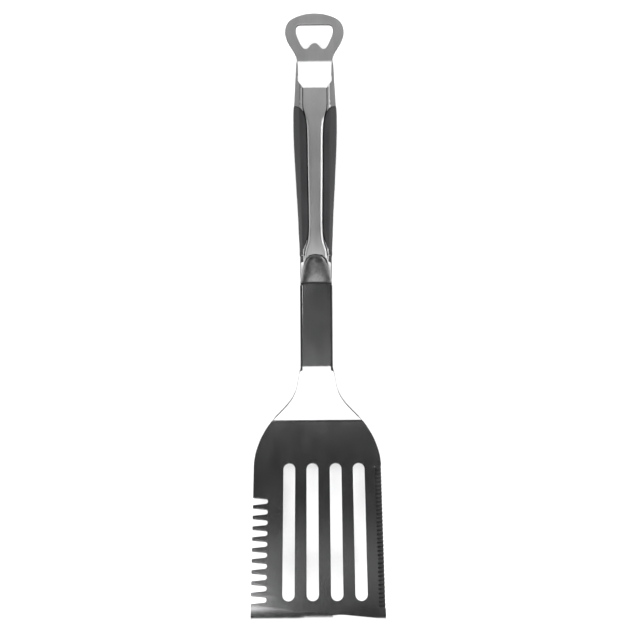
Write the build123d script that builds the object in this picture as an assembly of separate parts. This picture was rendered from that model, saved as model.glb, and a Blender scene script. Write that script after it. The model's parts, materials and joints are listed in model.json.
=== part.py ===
from build123d import *
import math
import os

# Grill spatula lying on a table: it rests on the heel of the blade and on the rear end of the handle.
# +Z up, +Y towards the bottle opener, blade towards -Y, comb on the -X edge, serration on the +X edge.
# The design frame has its origin under the shaft. The last step shifts everything to the bottom centre of the whole tool.

# ---------------------------------------------------------------- driving dimensions (mm, degrees)
SHEET = 2.4              # blade, neck and shaft sheet
BLADE_TILT = 22.0        # blade rises towards its front edge
BLADE_LEN = 155.5        # heel line to front edge, along the blade
BLADE_HALF = 50.0        # half the blade's width
HEEL = (-79.5, 0.727)     # Y, Z of the heel, mid sheet
NECK_TOP = (-37.5, 25.0)  # Y, Z where the neck meets the shaft, mid sheet
HEEL_R, NECK_R, TANG_R = 5.0, 8.0, 16.0
BEVEL_W, EDGE_T = 6.2, 0.35   # ground front edge: bevel width, edge thickness left

SLOT_X = (-22.1, -4.0, 14.2, 32.3)
SLOT_W, SLOT_U0, SLOT_U1 = 9.2, 35.7, 139.3
NOTCH_N, NOTCH_PITCH, NOTCH_U0 = 10, 8.09, 65.5
NOTCH_DEPTH, NOTCH_MOUTH, NOTCH_END_R = 11.6, 5.4, 1.85
TOOTH_N, TOOTH_PITCH, TOOTH_U0, TOOTH_R, TOOTH_TILT = 35, 3.07, 39.0, 1.9, 27.0

SHAFT_HALF, SHAFT_DEPTH, SHAFT_WALL, SHAFT_CORNER = 12.55, 7.0, 1.9, 2.2
SHAFT_Y0, SHAFT_Y1 = -36.0, 27.1
TANG_HALF, TANG_END = 6.3, 112.0

HANDLE_Y, HANDLE_Z, HANDLE_DROP = 28.0, 25.0, 5.2   # handle axis starts here and falls towards the rear
HANDLE_H0, HANDLE_H1 = 0.9, 176.0                   # ends of the shells along the handle axis
SKIN = 1.2
GRIP_T, CARRIER_T, GRIP_PROUD = 2.65, 1.2, 0.35
PARTING = -0.5

OPENER_T, OPENER_W0, OPENER_RISE = 3.0, 5.0, 24.0   # plate, level of its tang, rise of its neck above level
OPENER_H0, OPENER_H1, OPENER_H2 = 120.0, 149.0, 171.0

PLATE_T = 1.0            # spine plate
GAP = 0.05               # working gap between touching pieces

SIN, COS = math.sin(math.radians(HANDLE_DROP)), math.cos(math.radians(HANDLE_DROP))


# ---------------------------------------------------------------- helpers
def table(points):
    """A smooth monotone-friendly interpolation through (position, value) pairs (cubic Hermite, limited slopes)."""
    xs, ys = [p[0] for p in points], [p[1] for p in points]
    n = len(xs)
    d = [(ys[i + 1] - ys[i]) / (xs[i + 1] - xs[i]) for i in range(n - 1)]
    m = [d[0]] + [0.0 if d[i - 1] * d[i] <= 0 else 2 * d[i - 1] * d[i] / (d[i - 1] + d[i]) for i in range(1, n - 1)] + [d[-1]]

    def f(x):
        if x <= xs[0]:
            return ys[0] + m[0] * (x - xs[0])
        if x >= xs[-1]:
            return ys[-1] + m[-1] * (x - xs[-1])
        i = max(k for k in range(n - 1) if xs[k] <= x)
        h = xs[i + 1] - xs[i]
        t = (x - xs[i]) / h
        return (ys[i] * (1 + 2 * t) * (1 - t) ** 2 + m[i] * h * t * (1 - t) ** 2
                + ys[i + 1] * t * t * (3 - 2 * t) + m[i + 1] * h * t * t * (t - 1))

    return f


def strip_edges(points, radii, offset):
    """Edges of a bent strip's line: the mid polyline moved sideways by offset (left of travel positive), corners rounded at mid radii."""
    def sub(a, b):
        return (a[0] - b[0], a[1] - b[1])

    def unit(v):
        k = math.hypot(*v)
        return (v[0] / k, v[1] / k)

    dirs = [unit(sub(points[i + 1], points[i])) for i in range(len(points) - 1)]
    nrm = [(-v[1], v[0]) for v in dirs]
    edges, start = [], (points[0][0] + nrm[0][0] * offset, points[0][1] + nrm[0][1] * offset)
    for i, r in enumerate(radii, start=1):
        u, v = dirs[i - 1], dirs[i]
        cross = u[0] * v[1] - u[1] * v[0]
        turn = math.atan2(cross, u[0] * v[0] + u[1] * v[1])
        side = 1.0 if cross > 0 else -1.0
        cut = r * math.tan(abs(turn) / 2)
        p = points[i]
        a = (p[0] - u[0] * cut, p[1] - u[1] * cut)
        c = (a[0] + nrm[i - 1][0] * r * side, a[1] + nrm[i - 1][1] * r * side)
        rr = r - offset * side

        def at(share):
            ang = turn * share
            w = (-nrm[i - 1][0] * side, -nrm[i - 1][1] * side)
            x = w[0] * math.cos(ang) - w[1] * math.sin(ang)
            y = w[0] * math.sin(ang) + w[1] * math.cos(ang)
            return (c[0] + x * rr, c[1] + y * rr)

        edges.append(("line", start, at(0)))
        edges.append(("arc", at(0), at(0.5), at(1)))
        start = at(1)
    e = points[-1]
    edges.append(("line", start, (e[0] + nrm[-1][0] * offset, e[1] + nrm[-1][1] * offset)))
    return edges


def draw(edges):
    out = []
    for e in edges:
        if e[0] == "line":
            out.append(Line(e[1], e[2]))
        else:
            out.append(ThreePointArc(e[1], e[2], e[3]))
    return out


def strip_solid(points, radii, thickness, half, front_cap=None, plane=Plane.YZ):
    """A bent strip of constant thickness, extruded both ways across X. front_cap gives extra points between the lower and upper line at the first end."""
    top = strip_edges(points, radii, thickness / 2)
    low = strip_edges(points, radii, -thickness / 2)
    lines = draw(top) + draw(low)
    t0, l0 = top[0][1], low[0][1]
    chain = [l0] + list(front_cap or []) + [t0]
    for a, b in zip(chain[:-1], chain[1:]):
        lines.append(Line(a, b))
    lines.append(Line(low[-1][2], top[-1][2]))
    face = make_face([plane * e for e in lines])
    return extrude(face, amount=half, both=True)


def prism(outline, z0, z1):
    """A closed XY outline, a list of edges, raised from z0 to z1."""
    face = make_face(outline)
    return extrude(Pos(0, 0, z0) * face, amount=z1 - z0)


def first(shape):
    """The largest solid of a result."""
    return max(shape.solids(), key=lambda s: s.volume)


# ---------------------------------------------------------------- turner: blade, neck, shaft and tang
tilt = math.radians(BLADE_TILT)
ct, st = math.cos(tilt), math.sin(tilt)
blade_front = (HEEL[0] - BLADE_LEN * ct, HEEL[1] + BLADE_LEN * st)
shaft_end = (HANDLE_Y, HANDLE_Z)
tang_tip = (HANDLE_Y + TANG_END * COS, HANDLE_Z - TANG_END * SIN)
path = [blade_front, HEEL, NECK_TOP, shaft_end, tang_tip]


def on_blade(u, n):
    """Y, Z of a point u from the heel line and n above the mid sheet."""
    return (HEEL[0] - u * ct + n * st, HEEL[1] + u * st + n * ct)


# The front edge is ground from above: the strip starts at the bevel's upper line and a wedge carries on to the edge.
bevel_start = on_blade(BLADE_LEN - BEVEL_W, 0)
turner_path = [bevel_start] + path[1:]
cap = [on_blade(BLADE_LEN, -SHEET / 2), on_blade(BLADE_LEN, -SHEET / 2 + EDGE_T)]
sheet = strip_solid(turner_path, [HEEL_R, NECK_R, TANG_R], SHEET, 70, front_cap=cap)

# Plan outline, half-widths from the front to the tang.
neck_half = [(-36.2, 12.55), (-38.2, 12.95), (-43.5, 13.95), (-50.0, 15.15), (-53.2, 15.95), (-56.5, 17.05), (-59.8, 18.6),
             (-63.2, 20.7), (-66.5, 23.2), (-69.9, 26.2), (-73.2, 29.3), (-76.6, 32.6), (-80.0, 35.7), (-84.6, 39.2),
             (-89.1, 42.1), (-93.6, 44.6), (-98.1, 46.5), (-102.6, 48.1), (-107.1, 49.2), (-111.6, 49.8), (-116.0, BLADE_HALF)]
front_y = blade_front[0]
right = [(w, y) for y, w in neck_half]
left = [(-w, y) for y, w in neck_half]
corner_y = SHAFT_Y1 + 0.4
outline = [
    Spline(*right, tangents=[(0.35, -1), (0, -1)]),
    Line(right[-1], (BLADE_HALF, front_y - 5)),
    Line((BLADE_HALF, front_y - 5), (-BLADE_HALF, front_y - 5)),
    Line((-BLADE_HALF, front_y - 5), left[-1]),
    Spline(*left, tangents=[(-0.35, -1), (0, -1)]),
    Line(left[0], (-SHAFT_HALF + SHAFT_CORNER, left[0][1])),
    Line((-SHAFT_HALF + SHAFT_CORNER, left[0][1]), (-SHAFT_HALF + SHAFT_CORNER, corner_y)),
    Line((-SHAFT_HALF + SHAFT_CORNER, corner_y), (-TANG_HALF, corner_y)),
    Line((-TANG_HALF, corner_y), (-TANG_HALF, 180)),
    Line((-TANG_HALF, 180), (TANG_HALF, 180)),
    Line((TANG_HALF, 180), (TANG_HALF, corner_y)),
    Line((TANG_HALF, corner_y), (SHAFT_HALF - SHAFT_CORNER, corner_y)),
    Line((SHAFT_HALF - SHAFT_CORNER, corner_y), (SHAFT_HALF - SHAFT_CORNER, right[0][1])),
    Line((SHAFT_HALF - SHAFT_CORNER, right[0][1]), right[0]),
]
turner = sheet & prism(outline, -20, 90)

# The shaft's edges are folded down into a shallow channel.
z_top = NECK_TOP[1] + SHEET / 2
chan_plane = Plane(origin=(0, SHAFT_Y1, 0), x_dir=(1, 0, 0), z_dir=(0, -1, 0))
H, C, W = SHAFT_HALF, SHAFT_CORNER, SHAFT_WALL
z_low, ri = z_top - SHAFT_DEPTH, 0.7
k = math.sqrt(0.5)
section = [
    Line((-H, z_low), (-H, z_top - C)),
    ThreePointArc((-H, z_top - C), (-H + C * (1 - k), z_top - C * (1 - k)), (-H + C, z_top)),
    Line((-H + C, z_top), (H - C, z_top)),
    ThreePointArc((H - C, z_top), (H - C * (1 - k), z_top - C * (1 - k)), (H, z_top - C)),
    Line((H, z_top - C), (H, z_low)),
    Line((H, z_low), (H - W, z_low)),
    Line((H - W, z_low), (H - W, z_top - SHEET - ri)),
    ThreePointArc((H - W, z_top - SHEET - ri), (H - W - ri * (1 - k), z_top - SHEET - ri * (1 - k)), (H - W - ri, z_top - SHEET)),
    Line((H - W - ri, z_top - SHEET), (-H + W + ri, z_top - SHEET)),
    ThreePointArc((-H + W + ri, z_top - SHEET), (-H + W + ri * (1 - k), z_top - SHEET - ri * (1 - k)), (-H + W, z_top - SHEET - ri)),
    Line((-H + W, z_top - SHEET - ri), (-H + W, z_low)),
    Line((-H + W, z_low), (-H, z_low)),
]
channel = extrude(make_face([chan_plane * e for e in section]), amount=SHAFT_Y1 - SHAFT_Y0 + 1.6, dir=(0, -1, 0))
# The flanges run out in a curve just before the neck.
run_out = Pos(0, SHAFT_Y0 + 0.2, z_top - SHEET - 11.0) * Rot(0, 90, 0) * Cylinder(11.0, 60)
channel -= run_out
channel -= Pos(0, SHAFT_Y0 - 10 + 0.1, z_top) * Box(60, 20, 40)
turner = turner + channel

# Slots, comb, serration and corners are cut square to the blade.
blade_plane = Plane(origin=(0, HEEL[0], HEEL[1]), x_dir=(1, 0, 0), z_dir=(0, st, ct))
cuts = []
for x in SLOT_X:
    mid, length = (SLOT_U0 + SLOT_U1) / 2, SLOT_U1 - SLOT_U0
    cuts.append(Pos(x, -mid, -6) * extrude(Rot(0, 0, 90) * SlotOverall(length, SLOT_W), amount=12))
for i in range(NOTCH_N):
    u = NOTCH_U0 + i * NOTCH_PITCH
    xe, xi = -BLADE_HALF, -BLADE_HALF + NOTCH_DEPTH
    m, r = NOTCH_MOUTH / 2, NOTCH_END_R
    mouth = [
        Line((xe - 3, -u + m + 0.3), (xe, -u + m)),
        Line((xe, -u + m), (xi - r, -u + r)),
        ThreePointArc((xi - r, -u + r), (xi, -u), (xi - r, -u - r)),
        Line((xi - r, -u - r), (xe, -u - m)),
        Line((xe, -u - m), (xe - 3, -u - m - 0.3)),
        Line((xe - 3, -u - m - 0.3), (xe - 3, -u + m + 0.3)),
    ]
    cuts.append(Pos(0, 0, -6) * extrude(make_face(mouth), amount=12))
for i in range(TOOTH_N):
    u = TOOTH_U0 + i * TOOTH_PITCH
    cuts.append(Pos(BLADE_HALF - 0.55, -u, -SHEET / 2 + 0.1) * Rot(0, 90 + TOOTH_TILT, 0) * Pos(-TOOTH_R, 0, 0)
                * Cylinder(TOOTH_R, 16))
for side in (-1, 1):
    r = 3.0
    xe, ue = side * BLADE_HALF, BLADE_LEN
    corner = [
        Line((xe, -ue + r), (xe + side * 4, -ue + r)),
        Line((xe + side * 4, -ue + r), (xe + side * 4, -ue - 6)),
        Line((xe + side * 4, -ue - 6), (xe - side * r, -ue - 6)),
        Line((xe - side * r, -ue - 6), (xe - side * r, -ue)),
        ThreePointArc((xe - side * r, -ue), (xe - side * r * (1 - k), -ue + r * (1 - k)), (xe, -ue + r)),
    ]
    cuts.append(Pos(0, 0, -6) * extrude(make_face(corner), amount=12))
for c in cuts:
    turner -= blade_plane.location * c

# ---------------------------------------------------------------- handle frame: X across, Y along the axis to the rear, Z out of the top
handle = Plane(origin=(0, HANDLE_Y, HANDLE_Z), x_dir=(1, 0, 0), z_dir=(0, SIN, COS)).location

TANG_RIVETS = (35.0, 70.0, 104.0)
OPENER_RIVETS = (127.0, 140.0)
STUDS = (52.0, 88.0, 114.5)
PEGS, PEG_W, PEG_R = (60.0, 100.0), -3.5, 1.5

for h in TANG_RIVETS:
    turner -= handle * (Pos(0, h, 0) * Cylinder(2.05, 12))
turner -= handle * (Pos(0, TANG_END, 0) * (Box(40, 2 * 4.0, 8) - Pos(0, -4.0 - 8.5, 0) * Cylinder(12.5, 8)))

half_a = table([(-4, 12.35), (0, 12.35), (12, 12.3), (25, 12.3), (31, 12.5), (37, 12.8), (50, 13.3), (63, 13.95), (75, 14.65), (88, 15.3),
                (101, 16.0), (113, 16.5), (122, 16.7), (133, 16.7), (140, 16.5), (146, 16.2), (154, 15.8), (164, 15.3), (176, 14.6), (182, 14.2)])
top_w = table([(-4, 1.3), (0, 1.7), (10, 4.1), (22, 6.4), (40, 8.0), (70, 9.1), (100, 9.5), (130, 9.1), (155, 8.0), (176, 6.6), (182, 6.2)])
low_w = table([(-4, -6.1), (0, -6.3), (10, -6.9), (22, -7.6), (40, -8.6), (70, -10.2), (100, -11.2), (130, -11.4), (155, -10.6), (176, -9.0), (182, -8.5)])
half_b = table([(-4, 7.0), (0, 7.4), (10, 8.3), (22, 9.2), (40, 9.9), (100, 10.9), (140, 11.6), (176, 10.6), (182, 10.3)])
drop_t = table([(-4, 2.2), (0, 2.4), (22, 4.4), (60, 5.4), (100, 5.8), (140, 5.2), (176, 4.6), (182, 4.4)])
rise_l = table([(-4, 1.9), (0, 2.0), (22, 3.2), (60, 4.2), (100, 4.8), (140, 4.6), (176, 3.8), (182, 3.6)])
in_l = table([(-4, 2.6), (0, 2.8), (22, 3.5), (100, 5.0), (182, 4.0)])


def section_points(h, inset):
    """Right half of the handle's section at h, moved in by inset: four corners from the top to the bottom."""
    a, b, t, lo = half_a(h), half_b(h), top_w(h), low_w(h)
    pts = [(-b, t), (b, t), (a, t - drop_t(h)), (a, lo + rise_l(h)), (a - in_l(h), lo), (-(a - in_l(h)), lo), (-a, lo + rise_l(h)), (-a, t - drop_t(h))]
    n, out = len(pts), []
    for i in range(n):
        p0, p1, p2 = pts[i - 1], pts[i], pts[(i + 1) % n]
        d1, d2 = (p1[0] - p0[0], p1[1] - p0[1]), (p2[0] - p1[0], p2[1] - p1[1])
        k1, k2 = math.hypot(*d1), math.hypot(*d2)
        n1, n2 = (d1[1] / k1, -d1[0] / k1), (d2[1] / k2, -d2[0] / k2)   # outward normals, clockwise travel
        n1, n2 = (-n1[0], -n1[1]), (-n2[0], -n2[1])
        # solve q.n1 = p1.n1 - inset, q.n2 = p1.n2 - inset with outward normals
        o1, o2 = (-n1[0], -n1[1]), (-n2[0], -n2[1])
        c1 = p1[0] * o1[0] + p1[1] * o1[1]
        c2 = p1[0] * o2[0] + p1[1] * o2[1]
        # travel is clockwise seen from the front, so the outward side is to the left of travel
        o1, o2 = (-d1[1] / k1, d1[0] / k1), (-d2[1] / k2, d2[0] / k2)
        c1 = p1[0] * o1[0] + p1[1] * o1[1] - inset
        c2 = p1[0] * o2[0] + p1[1] * o2[1] - inset
        det = o1[0] * o2[1] - o1[1] * o2[0]
        out.append(((c1 * o2[1] - c2 * o1[1]) / det, (o1[0] * c2 - o2[0] * c1) / det))
    return out


def section_wire(h, inset):
    pts = section_points(h, inset)
    base = [2.2, 2.2, 2.4, 4.0, 4.0, 4.0, 4.0, 2.4]
    n, arcs = len(pts), []
    for i in range(n):
        p0, p1, p2 = pts[i - 1], pts[i], pts[(i + 1) % n]
        d1, d2 = (p1[0] - p0[0], p1[1] - p0[1]), (p2[0] - p1[0], p2[1] - p1[1])
        k1, k2 = math.hypot(*d1), math.hypot(*d2)
        u1, u2 = (d1[0] / k1, d1[1] / k1), (d2[0] / k2, d2[1] / k2)
        turn = abs(math.atan2(u1[0] * u2[1] - u1[1] * u2[0], u1[0] * u2[0] + u1[1] * u2[1]))
        r = max(base[i] - inset, 0.5)
        cut = min(r * math.tan(turn / 2), 0.42 * min(k1, k2))
        r = cut / math.tan(turn / 2)
        s = (p1[0] - u1[0] * cut, p1[1] - u1[1] * cut)
        e = (p1[0] + u2[0] * cut, p1[1] + u2[1] * cut)
        bis = (u2[0] - u1[0], u2[1] - u1[1])
        kb = math.hypot(*bis)
        mid_out = r / math.cos(turn / 2) - r
        m = (p1[0] + bis[0] / kb * mid_out, p1[1] + bis[1] / kb * mid_out)
        arcs.append((s, m, e))
    pl = Plane(origin=(0, h, 0), x_dir=(1, 0, 0), z_dir=(0, -1, 0))
    edges = []
    for i in range(n):
        s, m, e = arcs[i]
        edges.append(pl * ThreePointArc(s, m, e))
        edges.append(pl * Line(e, arcs[(i + 1) % n][0]))
    return Wire([x.edge() for x in edges])


def envelope(inset, h0=HANDLE_H0, h1=HANDLE_H1):
    stations = [h0] + [h for h in (5, 10, 16, 22, 31, 40, 52, 64, 77, 90, 102, 113, 123, 133, 142, 150, 158, 166, 171) if h0 + 2 < h < h1 - 2] + [h1]
    return Solid.make_loft([section_wire(h, inset) for h in stations])


# Plan outline of a grip, right side: the curve that borders the spine, closed far outside.
grip_curve = [(19.0, 142.0), (14.6, 139.2), (11.0, 136.3), (8.6, 132.8), (7.2, 127.5), (6.55, 120.0), (6.05, 85.0), (5.55, 48.0), (5.75, 38.0),
              (7.3, 31.6), (9.4, 26.8), (11.8, 21.8), (14.4, 16.5)]


def grip_prism(grow, side):
    """The grip's footprint, grown outwards by grow, over the whole height."""
    pts = []
    n = len(grip_curve)
    for i, p in enumerate(grip_curve):
        a, b = grip_curve[max(i - 1, 0)], grip_curve[min(i + 1, n - 1)]
        d = (b[0] - a[0], b[1] - a[1])
        kk = math.hypot(*d)
        # travel is from the rear to the front along the spine; away from the grip is to the right of travel
        pts.append(((p[0] + d[1] / kk * grow) * side, p[1] - d[0] / kk * grow))
    edge = Spline(*pts)
    far = 30.0 * side
    return prism([edge, Line(pts[-1], (far, pts[-1][1])), Line((far, pts[-1][1]), (far, pts[0][1])), Line((far, pts[0][1]), pts[0])], -30, 30)


def both(grow):
    return [grip_prism(grow, -1), grip_prism(grow, 1)]


E0 = Part() + envelope(0)
E_skin = Part() + envelope(SKIN, -3, 180)
deep = GRIP_T + CARRIER_T + 0.1
E_deep = Part() + envelope(deep, -3, 180)
E_deep_skin = Part() + envelope(deep + SKIN, -3, 180)
gl, gr = both(0.08)
shell = E0 - (gl - E_deep) - (gr - E_deep)
gl2, gr2 = both(SKIN)
cavity = (E_skin - gl2 - gr2) + E_deep_skin
shell -= cavity
tang_room = Pos(0, 56, 0) * Box(2 * TANG_HALF + 0.3, 122, SHEET + 0.24)
shell -= tang_room
upper = shell & Pos(0, 90, PARTING + 0.03 + 15) * Box(60, 220, 30)
lower = shell & Pos(0, 90, PARTING - 0.03 - 15) * Box(60, 220, 30)

# ---------------------------------------------------------------- front bolster: arch-shaped in plan, domed
arch_half = [(12.2, 0.9), (11.4, 4.0), (10.7, 8.0), (10.0, 11.5), (9.0, 15.2), (7.4, 18.8), (4.6, 21.1), (0.0, 21.9)]


def arch(grow):
    pts = [(x + (grow if x > 0 else 0), y + (grow if y > 14 else 0)) for x, y in arch_half]
    full = pts + [(-x, y) for x, y in reversed(pts[:-1])]
    s = Spline(*full, tangents=[(-0.25, 1), (-0.25, -1)])
    return prism([s, Line(full[-1], full[0])], 1.2 + GAP, 20)


def dome_section(h, centre, edge, half):
    pl = Plane(origin=(0, h, 0), x_dir=(1, 0, 0), z_dir=(0, -1, 0))
    es = [Line((-half, 0), (half, 0)), Line((half, 0), (half, edge)), ThreePointArc((half, edge), (0, centre), (-half, edge)), Line((-half, edge), (-half, 0))]
    return Wire([(pl * e).edge() for e in es])


dome = Part() + Solid.make_loft([dome_section(0.9, 5.5, 1.7, 13), dome_section(6, 6.9, 2.5, 13), dome_section(12, 8.0, 3.1, 13),
                                 dome_section(18, 8.7, 3.4, 13), dome_section(23, 8.9, 3.4, 13)])
bolster = dome & arch(0.0)
bolster = Part() + first(bolster)
upper -= arch(0.12)

# ---------------------------------------------------------------- bottle opener: tang, cranked neck, loop
rise = math.radians(OPENER_RISE + HANDLE_DROP)
level = math.radians(HANDLE_DROP)
o1 = (OPENER_H1, OPENER_W0)
o2 = (OPENER_H2, OPENER_W0 + (OPENER_H2 - OPENER_H1) * math.tan(rise))
o3 = (OPENER_H2 + 60, o2[1] + 60 * math.tan(level))
o_path = [(OPENER_H0, OPENER_W0), o1, o2, o3]
ORIGIN_Y = 28.0          # handle start in the design frame, used to place the loop's outline
LOOP = [(0.0, 236.4), (6.0, 236.0), (10.6, 235.0), (16.6, 232.6), (19.7, 230.3), (21.3, 228.0), (22.2, 225.6), (22.6, 223.3), (22.65, 221.0),
        (22.2, 218.7), (21.4, 216.4), (20.4, 214.1), (19.1, 211.8), (17.6, 209.5), (16.2, 207.2), (14.9, 204.8), (14.1, 202.5), (13.6, 200.0), (13.3, 197.0)]
ROOT = [(13.25, 190.0), (13.2, 186.6), (7.7, 179.6), (7.6, 171.0), (6.2, 166.0), (6.2, 130.0)]


def opener_outline(grow):
    loop = [(x + (grow if x > 0 else 0), y) for x, y in LOOP]
    full = [(-x, y) for x, y in reversed(loop[1:])] + loop
    es = [Spline(*full, tangents=[(-0.03, 1), (-0.03, -1)])]
    r = [loop[-1]] + [(x + grow, y - (grow if 170 < y < 188 else 0)) for x, y in ROOT]
    for a, b in zip(r[:-1], r[1:]):
        es.append(Line(a, b))
        es.append(Line((-a[0], a[1]), (-b[0], b[1])))
    es.append(Line(r[-1], (-r[-1][0], r[-1][1])))
    return es


def opener_strip(thick):
    return strip_solid(o_path, [4.0, 3.2], thick, 40)


opener = (handle * opener_strip(OPENER_T)) & prism(opener_outline(0.0), -5, 60)
inner_r = [(0.0, 213.5), (1.7, 213.1), (3.2, 211.9), (4.6, 210.2), (5.9, 209.3), (7.2, 209.15), (8.5, 209.6), (9.5, 210.7), (10.6, 212.3), (12.5, 216.5), (13.7, 219.6),
           (14.15, 222.0), (14.15, 224.6), (13.6, 226.4), (12.2, 227.45), (10.4, 227.7)]
left_in = [(-x, y) for x, y in inner_r[::-1]]
hole = [Spline(*(left_in[:-1] + inner_r), tangents=[(-1, 0), (-1, 0)]), Line(inner_r[-1], (-inner_r[-1][0], inner_r[-1][1]))]
opener -= prism(hole, 5, 60)
for h in OPENER_RIVETS:
    opener -= handle * (Pos(0, h, OPENER_W0) * Cylinder(2.05, 8))
opener = Part() + first(opener)
clear = (handle * opener_strip(OPENER_T + 0.3)) & prism(opener_outline(0.15), -5, 60)
opener_room = handle.inverse() * clear

upper -= opener_room

# ---------------------------------------------------------------- spine plate on top of the upper shell
def plate_profile(w_lo, w_hi, h0, h1):
    n = 24
    hs = [h0 + (h1 - h0) * i / n for i in range(n + 1)]
    a = [(h, top_w(h) + w_lo) for h in hs]
    b = [(h, top_w(h) + w_hi) for h in hs]
    es = [Spline(*a), Spline(*b), Line(a[0], b[0]), Line(a[-1], b[-1])]
    return extrude(make_face([Plane.YZ * e for e in es]), amount=20, both=True)


def plate_outline(shrink):
    g = [(x - shrink, y) for x, y in grip_curve if 36 < y < 131]
    front = [(6.8, 22.0), (6.75, 27.0), (6.35, 31.0), (5.75, 35.0)]
    rear_join = [(8.1, 132.6), (9.0, 136.0), (9.35, 139.5)]
    run = [(9.35, 153.0), (9.35, 139.5)]
    curve = list(reversed(rear_join)) + [(x, y) for x, y in g] + [(x, y) for x, y in reversed(front)]
    es = []
    for s in (1, -1):
        es.append(Line((s * run[0][0], run[0][1]), (s * run[1][0], run[1][1])))
        es.append(Spline(*[(s * x, y) for x, y in curve], tangents=[(0, -1), (0, -1)]))
    es.append(Line((9.35, 153.0), (-9.35, 153.0)))
    es.append(Line((6.8, 22.0), (-6.8, 22.0)))
    return es


plate = plate_profile(2 * GAP, PLATE_T, 20.5, 154.0) & prism(plate_outline(0.3), -5, 30)
plate -= arch(0.12)
plate -= opener_room
plate = Part() + first(plate)

# ---------------------------------------------------------------- moulded core in two halves
E_core = Part() + envelope(SKIN + 0.2, 1.4, 146.0)
E_core_deep = Part() + envelope(deep + SKIN + 0.2, 1.4, 146.0)
gl3, gr3 = both(SKIN + 0.3)
core = (E_core - gl3 - gr3) + E_core_deep
core_top = core & Pos(0, 90, SHEET / 2 + GAP + 15) * Box(60, 220, 30)
core_low = core & Pos(0, 90, -SHEET / 2 - GAP - 15) * Box(60, 220, 30)
core_top -= arch(0.3)
core_top -= opener_room
for h in TANG_RIVETS:
    core_top -= Pos(0, h, 10) * Cylinder(2.05, 30)
    core_top -= Pos(0, h, 4.0 + 10) * Cylinder(3.9, 20)
    core_low -= Pos(0, h, -10) * Cylinder(2.05, 30)
    core_low -= Pos(0, h, -4.0 - 10) * Cylinder(3.9, 20)
for h in OPENER_RIVETS:
    core_top -= Pos(0, h, 10) * Cylinder(2.05, 30)
    core_top -= Pos(0, h, 6.4 + 10) * Cylinder(3.9, 20)
    core_low -= Pos(0, h, -10) * Cylinder(2.05, 30)
    core_low -= Pos(0, h, -4.0 - 10) * Cylinder(3.9, 20)
for h in STUDS:
    core_top -= Pos(0, h, 10) * Cylinder(1.8, 30)
    upper -= Pos(0, h, 10) * Cylinder(1.8, 30)

# ---------------------------------------------------------------- rivets and studs
tang_rivets, opener_rivets, studs = [], [], []
for h in TANG_RIVETS:
    s = Pos(0, h, 0) * Cylinder(2.0, 8.2) + Pos(0, h, 4.6) * Cylinder(3.7, 1.1) + Pos(0, h, -4.6) * Cylinder(3.7, 1.1)
    tang_rivets.append(first(s))
for h in OPENER_RIVETS:
    s = Pos(0, h, 1.25) * Cylinder(2.0, 10.7) + Pos(0, h, 7.0) * Cylinder(3.4, 0.8) + Pos(0, h, -4.6) * Cylinder(3.7, 1.1)
    opener_rivets.append(first(s))
for h in STUDS:
    z1 = top_w(h) - 0.05
    studs.append(first(Pos(0, h, (1.6 + z1) / 2) * Cylinder(1.7, z1 - 1.6)))

# ---------------------------------------------------------------- grips and their carriers
E_out = Part() + envelope(-GRIP_PROUD, 5, 160)
E_grip_in = Part() + envelope(GRIP_T, 5, 160)
E_car_out = Part() + envelope(GRIP_T + GAP, 5, 160)
E_car_in = Part() + envelope(GRIP_T + CARRIER_T - 0.05, 5, 160)
grips, carriers = [], []
for side in (-1, 1):
    g = (E_out & grip_prism(0.0, side)) - E_grip_in
    grips.append(Part() + first(g))
    # The carrier stops short of the grip's pointed ends.
    c = (E_car_out & grip_prism(-0.5, side) & Pos(0, 82, 0) * Box(80, 96, 80)) - E_car_in
    c = Part() + first(c)
    for h in PEGS:
        x0, x1 = 7.4, half_a(h) - GRIP_T - 0.6
        c += Pos(side * (x0 + x1) / 2, h, PEG_W) * Rot(0, 90, 0) * Cylinder(PEG_R, x1 - x0)
        hole_ = Pos(side * 12, h, PEG_W) * Rot(0, 90, 0) * Cylinder(PEG_R + 0.1, 10.4)
        lower -= hole_
        core_low -= hole_
    carriers.append(Part() + first(c))

# ---------------------------------------------------------------- mouth seal and rear plug
seal = Part() + envelope(0.15, -0.2, HANDLE_H0 - GAP)
seal -= Pos(0, 0, 0) * Box(2 * TANG_HALF + 0.2, 8, SHEET + 0.2)
seal = Part() + first(seal)
plug = (Part() + envelope(SKIN + 0.08, 160.0, HANDLE_H1 + 0.6)) + (Part() + envelope(0.3, HANDLE_H1 + GAP, HANDLE_H1 + 1.8))
plug -= Part() + envelope(SKIN + 0.08 + 1.6, 150.0, HANDLE_H1 - 1.0)
plug -= opener_room
plug = Part() + first(plug)

# ---------------------------------------------------------------- place, shift to the bottom centre, write
local = {
    "spine_plate": plate,
    "handle_upper_shell": Part() + first(upper),
    "handle_lower_shell": Part() + first(lower),
    "grip_left": grips[0],
    "grip_right": grips[1],
    "grip_carrier_left": carriers[0],
    "grip_carrier_right": carriers[1],
    "front_bolster": bolster,
    "core_upper": Part() + first(core_top),
    "core_lower": Part() + first(core_low),
    "mouth_seal": seal,
    "rear_end_plug": plug,
}
nodes = {"turner_blade": Part() + first(turner), "bottle_opener": opener}
for name, shape in local.items():
    nodes[name] = handle * shape
# Identical fasteners share a node as separate solids.
for name, group in (("tang_rivets", tang_rivets), ("opener_rivets", opener_rivets), ("spine_studs", studs)):
    nodes[name] = Compound([handle * s for s in group])

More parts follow.
